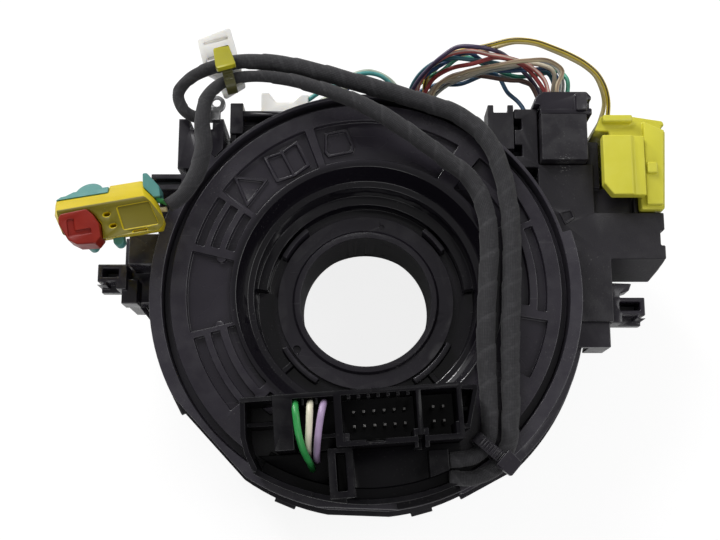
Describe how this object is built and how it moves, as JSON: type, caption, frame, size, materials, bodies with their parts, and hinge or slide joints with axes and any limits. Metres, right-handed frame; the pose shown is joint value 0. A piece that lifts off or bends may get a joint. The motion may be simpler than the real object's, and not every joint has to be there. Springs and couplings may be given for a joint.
{
  "type": "steering clock spring",
  "caption": "Ribbon-cable rotor in a round stator with leads, airbag connector, angle sensor, column switch bracket and control unit.",
  "frame": {"origin": "on the steering axis at the back face of the collar that grips the column tube", "axes": "+Z along the steering axis towards the wheel; +X to the control unit's side; +Y to the side of the wire harness; the unit lies on its back, as it is pictured"},
  "size_m": [0.1658, 0.133, 0.0731],
  "materials": {
    "black_plastic": "semi-gloss moulded",
    "dark_plastic": "satin moulded",
    "tape": "matte cloth tape",
    "bright_steel": "satin",
    "pin_metal": "tinned",
    "lemon_plastic": "satin moulded",
    "golden_plastic": "satin moulded",
    "orange_plastic": "satin moulded",
    "teal_plastic": "satin moulded",
    "milk_plastic": "translucent moulded",
    "lime_plastic": "satin moulded",
    "ribbon": "laminated",
    "board": "lacquered",
    "violet_wire": "smooth insulation",
    "red_wire": "smooth insulation",
    "blue_wire": "smooth insulation",
    "green_wire": "smooth insulation",
    "beige_wire": "smooth insulation",
    "brown_wire": "smooth insulation",
    "yellow_wire": "smooth insulation",
    "cyan_wire": "smooth insulation"
  },
  "bodies": {
    "stator": {"stator_case": "black_plastic", "stator_base": "dark_plastic", "flat_cable": "ribbon", "stator_terminal": "dark_plastic", "sensor_case": "dark_plastic", "sensor_cover": "black_plastic", "sensor_board": "board", "sensor_plug": "milk_plastic", "harness_plug": "milk_plastic", "switch_bracket": "black_plastic", "clamp_band": "bright_steel", "clamp_screw": "bright_steel", "unit_housing": "dark_plastic", "unit_cover": "black_plastic", "unit_board": "board", "main_receptacle": "dark_plastic", "main_plug": "black_plastic", "plug_cover": "black_plastic", "aux_socket": "dark_plastic", "airbag_plug": "lemon_plastic", "airbag_wires": "yellow_wire", "wires_violet": "violet_wire", "wires_red": "red_wire", "wires_blue": "blue_wire", "wires_green": "green_wire", "wires_beige": "beige_wire", "wires_brown": "brown_wire", "sensor_wires": "cyan_wire", "bracket_screws": "bright_steel"},
    "rotor": {"rotor_disc": "black_plastic", "hub_sleeve": "black_plastic", "cancel_cam": "dark_plastic", "sensor_gear": "milk_plastic", "rotor_terminal": "dark_plastic", "connector_block": "black_plastic", "block_shroud": "black_plastic", "header_pins": "pin_metal", "jumper_green": "green_wire", "jumper_white": "beige_wire", "jumper_violet": "violet_wire", "lead_tie": "black_plastic", "lead_loom": "tape", "branch_loom": "tape", "loom_tie": "lime_plastic", "white_plug": "milk_plastic", "earth_terminal": "bright_steel", "squib_body": "golden_plastic", "squib_retainer": "teal_plastic", "squib_wires": "green_wire"},
    "squib_lock": {"squib_lock": "orange_plastic"},
    "airbag_lock": {"airbag_lock": "lemon_plastic"},
    "magnet_gear_a": {"magnet_gear_a": "milk_plastic"},
    "magnet_gear_b": {"magnet_gear_b": "milk_plastic"}
  },
  "joints": [
    {"name": "rotor_turn", "type": "hinge", "parent": "stator", "child": "rotor", "pos_m": [0, 0, 0], "axis": [0, 0, 1], "range_deg": [-900, 900]},
    {"name": "gear_a_spin", "type": "hinge", "parent": "stator", "child": "magnet_gear_a", "pos_m": [0.01112, 0.03424, 0.0225], "axis": [0, 0, 1], "range_deg": [-2100, 2100]},
    {"name": "gear_b_spin", "type": "hinge", "parent": "stator", "child": "magnet_gear_b", "pos_m": [-0.0149, 0.03167, 0.0225], "axis": [0, 0, 1], "range_deg": [-2300, 2300]},
    {"name": "squib_lock_slide", "type": "slide", "parent": "rotor", "child": "squib_lock", "axis": [0, 0, 1], "range_m": [0, 0.0025]},
    {"name": "airbag_lock_slide", "type": "slide", "parent": "stator", "child": "airbag_lock", "axis": [0, 1, 0], "range_m": [0, 0.004]}
  ],
  "couplings": [
    {"joint": "gear_a_spin", "follows": "rotor_turn", "ratio": -2.2727},
    {"joint": "gear_b_spin", "follows": "rotor_turn", "ratio": -2.5}
  ]
}
